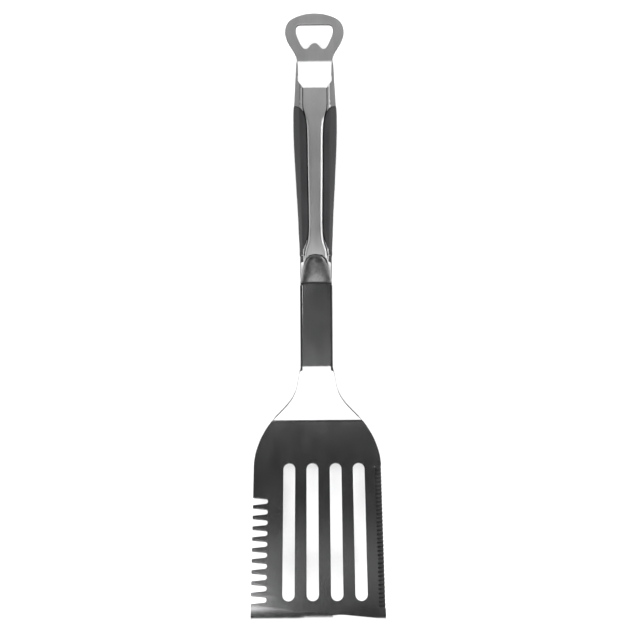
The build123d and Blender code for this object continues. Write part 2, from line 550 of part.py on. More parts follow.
lo = [1e9] * 3
hi = [-1e9] * 3
for shape in nodes.values():
    b = shape.bounding_box()
    for i, (p, q) in enumerate(zip(tuple(b.min), tuple(b.max))):
        lo[i], hi[i] = min(lo[i], p), max(hi[i], q)
shift = (-(lo[0] + hi[0]) / 2, -(lo[1] + hi[1]) / 2, -lo[2])
print("box", [round(v, 3) for v in lo], [round(v, 3) for v in hi], "shift", [round(v, 4) for v in shift])
print("handle underside", round(nodes["handle_lower_shell"].bounding_box().min.Z, 3), "heel", round(nodes["turner_blade"].bounding_box().min.Z, 3))
os.makedirs("parts", exist_ok=True)
for name, shape in nodes.items():
    moved = Compound([Pos(*shift) * s for s in shape.solids()]) if len(shape.solids()) > 1 else Pos(*shift) * shape
    export_step(moved, f"parts/{name}.step")
    print(name, "solids", len(moved.solids()), "volume", round(moved.volume, 1))
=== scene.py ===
import json
import math

import bmesh
import bpy
from mathutils import Matrix, Vector


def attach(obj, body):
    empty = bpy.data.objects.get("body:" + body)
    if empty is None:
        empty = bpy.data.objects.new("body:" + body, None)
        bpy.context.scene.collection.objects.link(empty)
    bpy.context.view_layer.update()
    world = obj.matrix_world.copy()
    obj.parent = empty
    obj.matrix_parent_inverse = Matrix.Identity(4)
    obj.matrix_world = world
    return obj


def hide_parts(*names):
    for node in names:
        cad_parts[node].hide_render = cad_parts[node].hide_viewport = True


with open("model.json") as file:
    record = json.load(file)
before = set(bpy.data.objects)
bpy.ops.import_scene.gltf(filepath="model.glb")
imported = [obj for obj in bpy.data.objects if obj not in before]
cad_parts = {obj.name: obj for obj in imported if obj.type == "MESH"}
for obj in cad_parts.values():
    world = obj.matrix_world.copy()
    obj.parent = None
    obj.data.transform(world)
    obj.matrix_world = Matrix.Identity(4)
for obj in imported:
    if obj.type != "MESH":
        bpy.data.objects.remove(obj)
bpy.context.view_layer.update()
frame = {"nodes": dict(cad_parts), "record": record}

NODES = frame["nodes"]
SHIFT = (0.0, -6.1367, -0.077)      # design frame to row frame, mm

# ---------------------------------------------------------------- the tool's own dimensions, mm
SHEET, TILT, BLADE_LEN, HALF = 2.4, math.radians(22.0), 155.5, 50.0
HEEL, NECK_TOP = (-79.5, 0.727), (-37.5, 25.0)
BEVEL_W, EDGE_T = 6.2, 0.35
SLOT_X, SLOT_W, SLOT_U0, SLOT_U1 = (-22.1, -4.0, 14.2, 32.3), 9.2, 35.7, 139.3
NOTCH_N, NOTCH_PITCH, NOTCH_U0, NOTCH_DEPTH, NOTCH_MOUTH, NOTCH_R = 10, 8.09, 65.5, 11.6, 5.4, 1.85
TOOTH_N, TOOTH_PITCH, TOOTH_U0, TOOTH_R, TOOTH_TILT = 35, 3.07, 39.0, 1.9, math.radians(27.0)
SHAFT_HALF, SHAFT_DEPTH, SHAFT_Y1 = 12.55, 7.0, 27.1
TANG_HALF, TANG_END = 6.3, 112.0
HY, HZ, DROP = 28.0, 25.0, math.radians(5.2)
SIN, COS = math.sin(DROP), math.cos(DROP)
ct, st = math.cos(TILT), math.sin(TILT)


def row(p):
    return ((p[0] + SHIFT[0]) / 1000, (p[1] + SHIFT[1]) / 1000, (p[2] + SHIFT[2]) / 1000)


def hand(x, h, w):
    """Handle-local point to the design frame."""
    return (x, HY + h * COS + w * SIN, HZ - h * SIN + w * COS)


def table(points):
    xs, ys = [p[0] for p in points], [p[1] for p in points]
    n = len(xs)
    d = [(ys[i + 1] - ys[i]) / (xs[i + 1] - xs[i]) for i in range(n - 1)]
    m = [d[0]] + [0.0 if d[i - 1] * d[i] <= 0 else 2 * d[i - 1] * d[i] / (d[i - 1] + d[i]) for i in range(1, n - 1)] + [d[-1]]

    def f(x):
        if x <= xs[0]:
            return ys[0] + m[0] * (x - xs[0])
        if x >= xs[-1]:
            return ys[-1] + m[-1] * (x - xs[-1])
        i = max(k for k in range(n - 1) if xs[k] <= x)
        h = xs[i + 1] - xs[i]
        t = (x - xs[i]) / h
        return (ys[i] * (1 + 2 * t) * (1 - t) ** 2 + m[i] * h * t * (1 - t) ** 2
                + ys[i + 1] * t * t * (3 - 2 * t) + m[i + 1] * h * t * t * (t - 1))

    return f


def spline(points, per=8):
    """A Catmull-Rom line through the points, centripetal enough for evenly placed points."""
    out = []
    n = len(points)
    for i in range(n - 1):
        p0, p1, p2, p3 = points[max(i - 1, 0)], points[i], points[i + 1], points[min(i + 2, n - 1)]
        l01 = max(math.dist(p0, p1), 1e-6) ** 0.5
        l12 = max(math.dist(p1, p2), 1e-6) ** 0.5
        l23 = max(math.dist(p2, p3), 1e-6) ** 0.5
        for k in range(per):
            t = k / per
            q = []
            for a, b, c, d in zip(p0, p1, p2, p3):
                m1 = (c - b) if i == 0 else ((b - a) / l01 - (c - a) / (l01 + l12) + (c - b) / l12) * l12
                m2 = (c - b) if i == n - 2 else ((c - b) / l12 - (d - b) / (l12 + l23) + (d - c) / l23) * l12
                q.append((2 * t ** 3 - 3 * t * t + 1) * b + (t ** 3 - 2 * t * t + t) * m1 + (3 * t * t - 2 * t ** 3) * c + (t ** 3 - t * t) * m2)
            out.append(tuple(q))
    out.append(tuple(points[-1]))
    return out


# ---------------------------------------------------------------- materials
def new_material(name):
    m = bpy.data.materials.new(name)
    m.use_nodes = True
    nt = m.node_tree
    nt.nodes.clear()
    out = nt.nodes.new("ShaderNodeOutputMaterial")
    b = nt.nodes.new("ShaderNodeBsdfPrincipled")
    nt.links.new(b.outputs["BSDF"], out.inputs["Surface"])
    co = nt.nodes.new("ShaderNodeTexCoord")
    return m, nt, b, co


def mapped(nt, co, scale, rot=(0, 0, 0)):
    mp = nt.nodes.new("ShaderNodeMapping")
    mp.inputs["Scale"].default_value = scale
    mp.inputs["Rotation"].default_value = rot
    nt.links.new(co.outputs["Object"], mp.inputs["Vector"])
    return mp.outputs["Vector"]


def noise(nt, vec, scale=1.0, detail=4.0, rough=0.55):
    n = nt.nodes.new("ShaderNodeTexNoise")
    n.inputs["Scale"].default_value = scale
    n.inputs["Detail"].default_value = detail
    n.inputs["Roughness"].default_value = rough
    nt.links.new(vec, n.inputs["Vector"])
    return n.outputs["Fac"]


def ramp(nt, fac, stops):
    r = nt.nodes.new("ShaderNodeValToRGB")
    e = r.color_ramp.elements
    while len(e) < len(stops):
        e.new(0.5)
    for el, (p, c) in zip(e, stops):
        el.position = p
        el.color = (c[0], c[1], c[2], 1) if isinstance(c, tuple) else (c, c, c, 1)
    nt.links.new(fac, r.inputs["Fac"])
    return r.outputs["Color"]


def mapr(nt, fac, a, b, c, d):
    r = nt.nodes.new("ShaderNodeMapRange")
    for k, v in (("From Min", a), ("From Max", b), ("To Min", c), ("To Max", d)):
        r.inputs[k].default_value = v
    nt.links.new(fac, r.inputs["Value"])
    return r.outputs["Result"]


def math_node(nt, op, a, b):
    n = nt.nodes.new("ShaderNodeMath")
    n.operation = op
    for i, v in enumerate((a, b)):
        if isinstance(v, (int, float)):
            n.inputs[i].default_value = v
        else:
            nt.links.new(v, n.inputs[i])
    return n.outputs[0]


def bump(nt, b, height, strength, dist=0.0001, prev=None):
    n = nt.nodes.new("ShaderNodeBump")
    n.inputs["Strength"].default_value = strength
    n.inputs["Distance"].default_value = dist
    nt.links.new(height, n.inputs["Height"])
    if prev is not None:
        nt.links.new(prev, n.inputs["Normal"])
    nt.links.new(n.outputs["Normal"], b.inputs["Normal"])
    return n.outputs["Normal"]


def steel(name, lo, hi, r0, r1, grain=(2600, 45, 2600), bump_s=0.10, blotch=90, scratch=0.35):
    """Brushed sheet: fine grain along the tool, slow blotches, sparse handling scratches."""
    m, nt, b, co = new_material(name)
    b.inputs["Metallic"].default_value = 1.0
    g = noise(nt, mapped(nt, co, grain), 1.0, 5.0, 0.6)
    slow = noise(nt, mapped(nt, co, (blotch, blotch * 0.45, blotch)), 1.0, 3.0, 0.5)
    fine = noise(nt, mapped(nt, co, (900, 900, 900)), 1.0, 2.0, 0.5)
    scr = noise(nt, mapped(nt, co, (1500, 22, 1500), (0.0, 0.0, 0.22)), 1.0, 2.0, 0.4)
    scr = mapr(nt, scr, 0.66, 0.74, 0.0, 1.0)
    mix = math_node(nt, "ADD", math_node(nt, "MULTIPLY", g, 0.5), math_node(nt, "MULTIPLY", slow, 0.5))
    col = ramp(nt, mix, [(0.30, lo), (0.70, hi)])
    nt.links.new(col, b.inputs["Base Color"])
    rr = math_node(nt, "ADD", mapr(nt, mix, 0.3, 0.7, r0, r1), math_node(nt, "MULTIPLY", scr, 0.06 * scratch))
    nt.links.new(rr, b.inputs["Roughness"])
    h = math_node(nt, "ADD", g, math_node(nt, "MULTIPLY", fine, 0.35))
    h = math_node(nt, "SUBTRACT", h, math_node(nt, "MULTIPLY", scr, scratch))
    bump(nt, b, h, bump_s, 0.00006)
    return m


def blasted(name, lo, hi, r0, r1):
    """Satin cast surface: mottled, with a fine pebble."""
    m, nt, b, co = new_material(name)
    b.inputs["Metallic"].default_value = 1.0
    big = noise(nt, mapped(nt, co, (330, 330, 330)), 1.0, 4.0, 0.6)
    peb = noise(nt, mapped(nt, co, (1700, 1700, 1700)), 1.0, 3.0, 0.6)
    mix = math_node(nt, "ADD", math_node(nt, "MULTIPLY", big, 0.6), math_node(nt, "MULTIPLY", peb, 0.4))
    nt.links.new(ramp(nt, mix, [(0.34, lo), (0.66, hi)]), b.inputs["Base Color"])
    nt.links.new(mapr(nt, mix, 0.3, 0.7, r0, r1), b.inputs["Roughness"])
    n1 = bump(nt, b, big, 0.22, 0.0006)
    bump(nt, b, peb, 0.25, 0.00015, n1)
    return m


def rubber(name, lo, hi, rough=0.55, bump_s=0.35, spec=0.35):
    """Moulded rubber: fine leather-like grain, its tone and roughness varying slowly at random."""
    m, nt, b, co = new_material(name)
    b.inputs["Metallic"].default_value = 0.0
    b.inputs["Specular IOR Level"].default_value = spec
    vo = nt.nodes.new("ShaderNodeTexVoronoi")
    vo.inputs["Scale"].default_value = 1.0
    nt.links.new(mapped(nt, co, (1300, 1300, 1300)), vo.inputs["Vector"])
    fine = noise(nt, mapped(nt, co, (2600, 2600, 2600)), 1.0, 3.0, 0.6)
    slow = noise(nt, mapped(nt, co, (70, 40, 70)), 1.0, 4.0, 0.55)
    mix = math_node(nt, "ADD", math_node(nt, "MULTIPLY", slow, 0.65), math_node(nt, "MULTIPLY", fine, 0.35))
    nt.links.new(ramp(nt, mix, [(0.35, lo), (0.65, hi)]), b.inputs["Base Color"])
    nt.links.new(mapr(nt, mix, 0.3, 0.7, rough - 0.06, rough + 0.08), b.inputs["Roughness"])
    h = math_node(nt, "ADD", vo.outputs["Distance"], math_node(nt, "MULTIPLY", fine, 0.5))
    bump(nt, b, h, bump_s, 0.00012)
    return m


MAT = {
    "blade_steel": steel("blade_steel", (0.52, 0.52, 0.525), (0.60, 0.60, 0.605), 0.15, 0.20, bump_s=0.05),
    "opener_steel": steel("opener_steel", (0.58, 0.58, 0.585), (0.68, 0.68, 0.685), 0.38, 0.46, bump_s=0.10),
    "spine_steel": steel("spine_steel", (0.58, 0.58, 0.585), (0.68, 0.68, 0.685), 0.36, 0.44, bump_s=0.12),
    "shell_steel": steel("shell_steel", (0.66, 0.66, 0.665), (0.76, 0.76, 0.765), 0.26, 0.34, bump_s=0.08),
    # painted shade: the bolster's base colour is kept far darker than steel, standing in for the dark it reflects
    "bolster_steel": blasted("bolster_steel", (0.14, 0.14, 0.142), (0.25, 0.25, 0.253), 0.26, 0.40),
    "rivet_steel": steel("rivet_steel", (0.48, 0.48, 0.485), (0.58, 0.58, 0.585), 0.26, 0.36, grain=(900, 900, 900), bump_s=0.12),
    "grip_rubber": rubber("grip_rubber", (0.0125, 0.0125, 0.0135), (0.0200, 0.0200, 0.0212)),
    "seal_rubber": rubber("seal_rubber", (0.008, 0.008, 0.008), (0.014, 0.014, 0.014), 0.6, 0.3),
    "carrier_plastic": rubber("carrier_plastic", (0.012, 0.012, 0.013), (0.020, 0.020, 0.021), 0.45, 0.2, 0.5),
    "core_nylon": rubber("core_nylon", (0.016, 0.016, 0.018), (0.028, 0.028, 0.030), 0.5, 0.25, 0.5),
    "plug_plastic": rubber("plug_plastic", (0.010, 0.010, 0.011), (0.018, 0.018, 0.019), 0.4, 0.2, 0.5),
}
# painted shade: the blade's cut edges, slot walls and rounded rims get near-black steel standing in for shade and dark
# reflections
PAINTED_SHADE_BLADE_RIM = steel("painted_shade_blade_rim", (0.03, 0.03, 0.031), (0.06, 0.06, 0.062), 0.30, 0.42, grain=(1200, 1200, 1200), bump_s=0.12)
# painted shade: the opener's rims and the walls of its mouth get near-black steel standing in for shade and dark
# reflections
PAINTED_SHADE_OPENER_RIM = steel("painted_shade_opener_rim", (0.035, 0.035, 0.037), (0.07, 0.07, 0.073), 0.34, 0.46, grain=(1200, 1200, 1200), bump_s=0.12)
# painted shade: the spine plate's rolled rim gets near-black steel standing in for the shade of the groove beside it
PAINTED_SHADE_PLATE_RIM = steel("painted_shade_plate_rim", (0.03, 0.03, 0.03), (0.06, 0.06, 0.06), 0.40, 0.50, grain=(1200, 1200, 1200), bump_s=0.12)
# painted shade: the shell's rear flanks get a dark steel standing in for the dark they reflect
PAINTED_SHADE_SHELL_SIDE = steel("painted_shade_shell_side", (0.13, 0.13, 0.132), (0.20, 0.20, 0.203), 0.36, 0.46, grain=(900, 900, 900), bump_s=0.12)
# painted shade: near-black steel for the shaft's fold corners, the serrated edge, the seat under the plate and the
# shell's steep sides
PAINTED_BLACK_SHADE = steel("painted_black_shade", (0.03, 0.03, 0.031), (0.06, 0.06, 0.062), 0.34, 0.44, grain=(1200, 1200, 1200), bump_s=0.12)
SLOT_OF = {s["node"]: s["material_slot"] for s in frame["record"]["subparts"]}
for name, obj in NODES.items():
    obj.data.materials.clear()
    obj.data.materials.append(MAT[SLOT_OF[name]])


# ---------------------------------------------------------------- mesh helpers
def finish_piece(obj, node, weighted=True, angle=35.0, edge=None):
    keep = [f.material_index for f in obj.data.polygons]
    obj.data.materials.clear()
    obj.data.materials.append(MAT[SLOT_OF[node]])
    # edge: an optional second material for the faces marked 1; every caller here passes a painted-shade material
    if edge is not None:
        obj.data.materials.append(edge)
        for f, i in zip(obj.data.polygons, keep):
            f.material_index = i
    obj.data.shade_smooth()
    obj.data.set_sharp_from_angle(angle=math.radians(angle))
    if weighted:
        md = obj.modifiers.new("wn", "WEIGHTED_NORMAL")
        md.keep_sharp = True
        md.weight = 80
    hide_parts(node)
    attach(obj, "root")
    return obj


def from_data(name, verts, faces):
    """verts in the design frame, mm."""
    me = bpy.data.meshes.new(name)
    me.from_pydata([row(v) for v in verts], [], faces)
    me.validate()
    bm = bmesh.new()
    bm.from_mesh(me)
    bmesh.ops.remove_doubles(bm, verts=bm.verts, dist=1e-6)
    bmesh.ops.recalc_face_normals(bm, faces=bm.faces)
    bm.to_mesh(me)
    bm.free()
    o = bpy.data.objects.new(name, me)
    bpy.context.scene.collection.objects.link(o)
    return o


def flat_sheet(loops, thick, edge):
    """A flat blank: closed outlines (first the outside, then holes) with rounded edges, as a bmesh in mm, x, s, n."""
    cu = bpy.data.curves.new("blank", "CURVE")
    cu.dimensions = "2D"
    cu.fill_mode = "BOTH"
    cu.extrude = thick / 2 - edge
    cu.bevel_depth = edge
    cu.bevel_resolution = 2
    cu.offset = -edge
    for pts in loops:
        sp = cu.splines.new("POLY")
        sp.points.add(len(pts) - 1)
        for q, p in zip(sp.points, pts):
            q.co = (p[0], p[1], 0, 1)
        sp.use_cyclic_u = True
    ob = bpy.data.objects.new("blank", cu)
    bpy.context.scene.collection.objects.link(ob)
    bpy.context.view_layer.update()
    me = bpy.data.meshes.new_from_object(ob)
    bpy.data.objects.remove(ob)
    bm = bmesh.new()
    bm.from_mesh(me)
    bpy.data.meshes.remove(me)
    bmesh.ops.remove_doubles(bm, verts=bm.verts, dist=1e-4)
    bmesh.ops.recalc_face_normals(bm, faces=bm.faces)
    bm.normal_update()
    # faces off the flat (rims and cut walls) get slot 1, which carries the painted-shade rim material
    for f in bm.faces:
        f.material_index = 1 if abs(f.normal.z) < 0.93 else 0
    return bm


def cut(bm, axis, values):
    no = Vector((1, 0, 0)) if axis == "x" else Vector((0, 1, 0))
    for v in values:
        g = list(bm.verts) + list(bm.edges) + list(bm.faces)
        bmesh.ops.bisect_plane(bm, geom=g, dist=1e-5, plane_co=no * v, plane_no=no)


def dedupe(pts, eps=0.02):
    out = [pts[0]]
    for p in pts[1:]:
        if math.dist(p, out[-1]) > eps:
            out.append(p)
    if math.dist(out[0], out[-1]) < eps:
        out.pop()
    return out


class Path:
    """A mid line in the YZ plane with rounded corners, by arc length."""

    def __init__(self, pts, radii):
        self.seg = []
        s = 0.0
        start = pts[0]
        for i, r in enumerate(radii, start=1):
            a, b, c = pts[i - 1], pts[i], pts[i + 1]
            u = ((b[0] - a[0]) / math.dist(a, b), (b[1] - a[1]) / math.dist(a, b))
            v = ((c[0] - b[0]) / math.dist(b, c), (c[1] - b[1]) / math.dist(b, c))
            turn = math.atan2(u[0] * v[1] - u[1] * v[0], u[0] * v[0] + u[1] * v[1])
            k = r * math.tan(abs(turn) / 2)
            p = (b[0] - u[0] * k, b[1] - u[1] * k)
            ln = math.dist(start, p)
            self.seg.append(("line", s, s + ln, start, u))
            s += ln
            self.seg.append(("arc", s, s + r * abs(turn), p, u, r, turn))
            s += r * abs(turn)
            start = (b[0] + v[0] * k, b[1] + v[1] * k)
        e, a = pts[-1], start
        u = ((e[0] - a[0]) / math.dist(a, e), (e[1] - a[1]) / math.dist(a, e))
        self.seg.append(("line", s, s + math.dist(a, e), a, u))
        self.length = s + math.dist(a, e)

    def at(self, s, n):
        for g in self.seg:
            if s <= g[2] or g is self.seg[-1]:
                if s < self.seg[0][1]:
                    g = self.seg[0]
                d = s - g[1]
                if g[0] == "line":
                    p, u = g[3], g[4]
                    return (p[0] + u[0] * d - u[1] * n, p[1] + u[1] * d + u[0] * n)
                p, u, r, turn = g[3], g[4], g[5], g[6]
                side = 1.0 if turn > 0 else -1.0
                c = (p[0] - u[1] * r * side, p[1] + u[0] * r * side)
                ang = turn * d / (g[2] - g[1])
                w = (u[1] * side, -u[0] * side)
                w = (w[0] * math.cos(ang) - w[1] * math.sin(ang), w[0] * math.sin(ang) + w[1] * math.cos(ang))
                rr = r - n * side
                return (c[0] + w[0] * rr, c[1] + w[1] * rr)

    def s_of_y(self, y):
        lo, hi = -20.0, self.length + 20
        for _ in range(50):
            m = (lo + hi) / 2
            if self.at(m, 0)[0] < y:
                lo = m
            else:
                hi = m
        return (lo + hi) / 2

    def arcs(self):
        return [(g[1], g[2], abs(g[6])) for g in self.seg if g[0] == "arc"]


def bend_cuts(path, step=5.0):
    out = []
    for a, b, turn in path.arcs():
        n = max(3, round(math.degrees(turn) / step))
        out += [a + (b - a) * i / n for i in range(n + 1)]
    return out


def bm_object(name, bm, fn):
    for v in bm.verts:
        v.co = Vector(row(fn(v.co.x, v.co.y, v.co.z)))
    bmesh.ops.recalc_face_normals(bm, faces=bm.faces)
    me = bpy.data.meshes.new(name)
    bm.to_mesh(me)
    bm.free()
    o = bpy.data.objects.new(name, me)
    bpy.context.scene.collection.objects.link(o)
    return o


# ---------------------------------------------------------------- turner: blank with slots, comb and serration, then bent
front = (HEEL[0] - BLADE_LEN * ct, HEEL[1] + BLADE_LEN * st)
tang_tip = (HY + TANG_END * COS, HZ - TANG_END * SIN)
tpath = Path([front, HEEL, NECK_TOP, (HY, HZ), tang_tip], [5.0, 8.0, 16.0])


def s_of_u(u):
    return BLADE_LEN - u


# the heel bend swallows a little length, so blade features are placed from the front edge
neck_half = [(-36.2, 12.9), (-38.2, 13.1), (-43.5, 13.95), (-50.0, 15.15), (-53.2, 15.95), (-56.5, 17.05), (-59.8, 18.6),
             (-63.2, 20.7), (-66.5, 23.2), (-69.9, 26.2), (-73.2, 29.3), (-76.6, 32.6), (-80.0, 35.7), (-84.6, 39.2),
             (-89.1, 42.1), (-93.6, 44.6), (-98.1, 46.5), (-102.6, 48.1), (-107.1, 49.2), (-111.6, 49.8), (-116.0, HALF)]
C, ARC = 2.2, 2.2 * math.pi / 2
X0 = SHAFT_HALF - C
FLANGE = X0 + ARC + (SHAFT_DEPTH - C)


def flange_at(y):
    """Blank half-width of the folded shaft edge at y: it runs out in a curve before the neck."""
    d = y + 35.8
    cy = SHEET + 11.0
    if d >= 11.0:
        dep = SHAFT_DEPTH
    else:
        dep = min(SHAFT_DEPTH, cy - math.sqrt(max(121.0 - max(d, 0.0) ** 2, 0.0)))
    return X0 + ARC + (dep - C)


def side_line(sign):
    """From the tang end to the blade's corner on one side, as blank points (x, s)."""
    pts = [(TANG_HALF, tpath.length - 9.0)]
    pts.append((TANG_HALF, tpath.s_of_y(SHAFT_Y1 + 0.9)))
    pts.append((X0 - 0.6, tpath.s_of_y(SHAFT_Y1 + 0.3)))
    pts.append((X0, tpath.s_of_y(SHAFT_Y1 + 0.0)))
    pts.append((FLANGE, tpath.s_of_y(SHAFT_Y1)))
    for y in (24, 10, -5, -20, -25, -26.5, -28, -29.5, -31, -32.5, -34, -35.2):
        pts.append((flange_at(y), tpath.s_of_y(y)))
    nk = spline([(w, y) for y, w in neck_half], 5)
    pts += [(w, tpath.s_of_y(y)) for w, y in nk]
    return [(sign * x, s) for x, s in pts]


right = side_line(1)
left = side_line(-1)
r3 = 3.0
right.append((HALF, r3))
right += [(HALF - r3 + r3 * math.cos(a), r3 - r3 * math.sin(a)) for a in [math.pi / 2 * i / 6 for i in range(1, 7)]]
comb = []
for i in range(NOTCH_N):
    s = s_of_u(NOTCH_U0 + i * NOTCH_PITCH)
    m, r, xi = NOTCH_MOUTH / 2, NOTCH_R, -HALF + NOTCH_DEPTH
    one = [(-HALF, s + m + 0.5), (-HALF + 0.14, s + m + 0.14), (-HALF + 0.5, s + m)]
    one += [(xi - r + r * math.cos(a), s + r * math.sin(a)) for a in [math.pi / 2 - math.pi * k / 12 for k in range(13)]]
    one += [(-HALF + 0.5, s - m), (-HALF + 0.14, s - m - 0.14), (-HALF, s - m - 0.5)]
    comb += one
left += comb
left.append((-HALF, r3))
left += [(-HALF + r3 - r3 * math.cos(a), r3 - r3 * math.sin(a)) for a in [math.pi / 2 * i / 6 for i in range(1, 7)]]
tail = [(TANG_HALF * math.cos(a), tpath.length - 9.0 + 8.0 * math.sin(a)) for a in [math.pi * i / 12 for i in range(1, 12)]]
outline = dedupe(list(reversed(left)) + [(-x, s) for x, s in tail] + right)
loops = [outline]
for x in SLOT_X:
    r = SLOT_W / 2
    a0, a1 = s_of_u(SLOT_U1) + r, s_of_u(SLOT_U0) - r
    loops.append([(x + r * math.cos(t), a1 + r * math.sin(t)) for t in [math.pi * k / 20 for k in range(21)]]
                 + [(x + r * math.cos(t), a0 + r * math.sin(t)) for t in [math.pi + math.pi * k / 20 for k in range(21)]])
bm = flat_sheet(loops, SHEET, 0.28)

# serration: shallow scallops ground into the upper face along the right edge
me = bpy.data.meshes.new("blank_mesh")
bm.to_mesh(me)
bm.free()
blank = bpy.data.objects.new("blank_body", me)
# slot 1: the painted-shade rim material for the cut edges
me.materials.append(MAT["blade_steel"])
me.materials.append(PAINTED_SHADE_BLADE_RIM)
bpy.context.scene.collection.objects.link(blank)
cb = bmesh.new()
for i in range(TOOTH_N):
    s = s_of_u(TOOTH_U0 + i * TOOTH_PITCH)
    ax = Vector((math.cos(TOOTH_TILT), 0, -math.sin(TOOTH_TILT)))
    up = Vector((math.sin(TOOTH_TILT), 0, math.cos(TOOTH_TILT)))
    mid = Vector((HALF - 0.55, s, -SHEET / 2 + 0.1)) + up * TOOTH_R
    ring = []
    for e in (-8.0, 8.0):
        ring.append([cb.verts.new(mid + ax * e + up * (TOOTH_R * math.cos(t)) + Vector((0, 1, 0)) * (TOOTH_R * 1.0001 * math.sin(t)))
                     for t in [2 * math.pi * k / 28 for k in range(28)]])
    for k in range(28):
        cb.faces.new((ring[0][k], ring[0][(k + 1) % 28], ring[1][(k + 1) % 28], ring[1][k]))
    cb.faces.new(ring[0][::-1])
    cb.faces.new(ring[1])
bmesh.ops.recalc_face_normals(cb, faces=cb.faces)
cm = bpy.data.meshes.new("cutters")
cb.to_mesh(cm)
cb.free()
cm.materials.append(MAT["blade_steel"])
cutter = bpy.data.objects.new("cutters", cm)
bpy.context.scene.collection.objects.link(cutter)
md = blank.modifiers.new("b", "BOOLEAN")
md.object = cutter
md.operation = "DIFFERENCE"
md.solver = "EXACT"
md.use_self = True
bpy.context.view_layer.update()
done = bpy.data.meshes.new_from_object(blank.evaluated_get(bpy.context.evaluated_depsgraph_get()))
bm = bmesh.new()
bm.from_mesh(done)
for o in (blank, cutter):
    bpy.data.objects.remove(o)
print("blank faces", len(bm.faces), "open edges", sum(1 for e in bm.edges if len(e.link_faces) != 2))
cut(bm, "s", [BEVEL_W] + bend_cuts(tpath, 4.0) + [tpath.s_of_y(y) for y in (-40, -39, -38, -37, -36, -35, -34)])
xs = [X0 + ARC * k / 6 for k in range(7)]
cut(bm, "x", xs + [-x for x in xs])


def smooth(a, b, v):
    t = min(max((v - a) / (b - a), 0.0), 1.0)
    return t * t * (3 - 2 * t)


def fold(xf, n):
    """Across the shaft: the blank's edge wraps down over the corner. Gives x and how far below the top the point lies."""
    sg = 1.0 if xf >= 0 else -1.0
    x = abs(xf)
    k = (SHEET / 2 - n) / SHEET
    RI, WALL = 0.7, 1.9
    if x <= X0:
        return xf, k * SHEET
    if x <= X0 + ARC:
        t = (x - X0) / C
        po = (X0 + C * math.sin(t), C - C * math.cos(t))
        xi = SHAFT_HALF - WALL - RI
        pi_ = (xi + RI * math.sin(t), SHEET + RI - RI * math.cos(t))
    else:
        d = (x - X0 - ARC)
        po = (SHAFT_HALF, C + d)
        f = d / (SHAFT_DEPTH - C)
        pi_ = (SHAFT_HALF - WALL, SHEET + RI + f * (SHAFT_DEPTH - SHEET - RI))
    return sg * (po[0] + (pi_[0] - po[0]) * k), po[1] + (pi_[1] - po[1]) * k


S36, S40 = tpath.s_of_y(-34.6), tpath.s_of_y(-40.0)
S_MOUTH = tpath.s_of_y(SHAFT_Y1 + 0.15)


def turner_map(x, s, n):
    if s < BEVEL_W:
        T = EDGE_T + (SHEET - EDGE_T) * max(s, 0.0) / BEVEL_W
        n = -SHEET / 2 + (n + SHEET / 2) * T / SHEET
    if abs(x) > X0 and s > S40:
        fx, dep = fold(x, n)
        k = smooth(S40, S36, s) if s < S_MOUTH else 1.0
        y, z = tpath.at(s, SHEET / 2 - dep)
        y0, z0 = tpath.at(s, n)
        return (x + (fx - x) * k, y0 + (y - y0) * k, z0 + (z - z0) * k)
    y, z = tpath.at(s, n)
    return (x, y, z)


turner = bm_object("blade_body", bm, turner_map)
finish_piece(turner, "turner_blade", angle=28, edge=PAINTED_SHADE_BLADE_RIM)
turner.data.materials.append(PAINTED_BLACK_SHADE)
# painted shade: steep faces of the shaft's folds and of the serrated right edge get the black shade material
for f in turner.data.polygons:
    if abs(f.normal.x) > 0.08 and abs(f.center.x) > 0.0108 and f.center.y > -0.048:
        f.material_index = 2
    if abs(f.normal.x) > 0.10 and f.center.x > 0.040 and -0.2215 < f.center.y < -0.100:
        f.material_index = 2

# ---------------------------------------------------------------- opener: blank with a cap mouth, cranked up behind the handle
rise, level = math.radians(24.0 + 5.2), math.radians(5.2)
o_pts = [(120.0, 5.0), (149.0, 5.0), (171.0, 5.0 + 22.0 * math.tan(rise))]
o_pts.append((231.0, o_pts[2][1] + 60 * math.tan(level)))
opath = Path([hand(0, h, w)[1:] for h, w in o_pts], [4.0, 3.2])
LOOP = [(0.0, 236.4), (6.0, 236.0), (10.6, 235.0), (16.6, 232.6), (19.7, 230.3), (21.3, 228.0), (22.2, 225.6), (22.6, 223.3), (22.65, 221.0),
        (22.2, 218.7), (21.4, 216.4), (20.4, 214.1), (19.1, 211.8), (17.6, 209.5), (16.2, 207.2), (14.9, 204.8), (14.1, 202.5), (13.6, 200.0), (13.3, 197.0)]
ROOT = [(13.25, 190.0), (13.2, 186.6), (7.7, 179.6), (7.6, 171.0), (6.2, 166.0), (6.2, 149.0)]
half = spline([(-LOOP[1][0], LOOP[1][1])] + LOOP, 6)
half = half[6:]
edge = half + ROOT
loop_o = dedupe([(x, opath.s_of_y(y)) for x, y in edge] + [(-x, opath.s_of_y(y)) for x, y in reversed(edge)], 0.05)
inner_r = [(0.0, 213.5), (1.7, 213.1), (3.2, 211.9), (4.6, 210.2), (5.9, 209.3), (7.2, 209.15), (8.5, 209.6), (9.5, 210.7), (10.6, 212.3), (12.5, 216.5), (13.7, 219.6),
           (14.15, 222.0), (14.15, 224.6), (13.6, 226.4), (12.2, 227.45), (10.4, 227.7)]
inn = spline([(-1.7, 213.1)] + inner_r, 5)[5:]
loop_i = dedupe([(x, opath.s_of_y(y)) for x, y in inn] + [(-x, opath.s_of_y(y)) for x, y in reversed(inn)], 0.05)
bm = flat_sheet([loop_o, loop_i], 3.0, 0.5)
s_root = opath.s_of_y(189.5)
# the root stays plain steel; the other rims keep the painted-shade rim material
for f in bm.faces:
    if f.calc_center_median().y < s_root:
        f.material_index = 0
cut(bm, "s", bend_cuts(opath, 4.0))
opener = bm_object("opener_body", bm, lambda x, s, n: (x,) + opath.at(s, n))
finish_piece(opener, "bottle_opener", angle=40, edge=PAINTED_SHADE_OPENER_RIM)

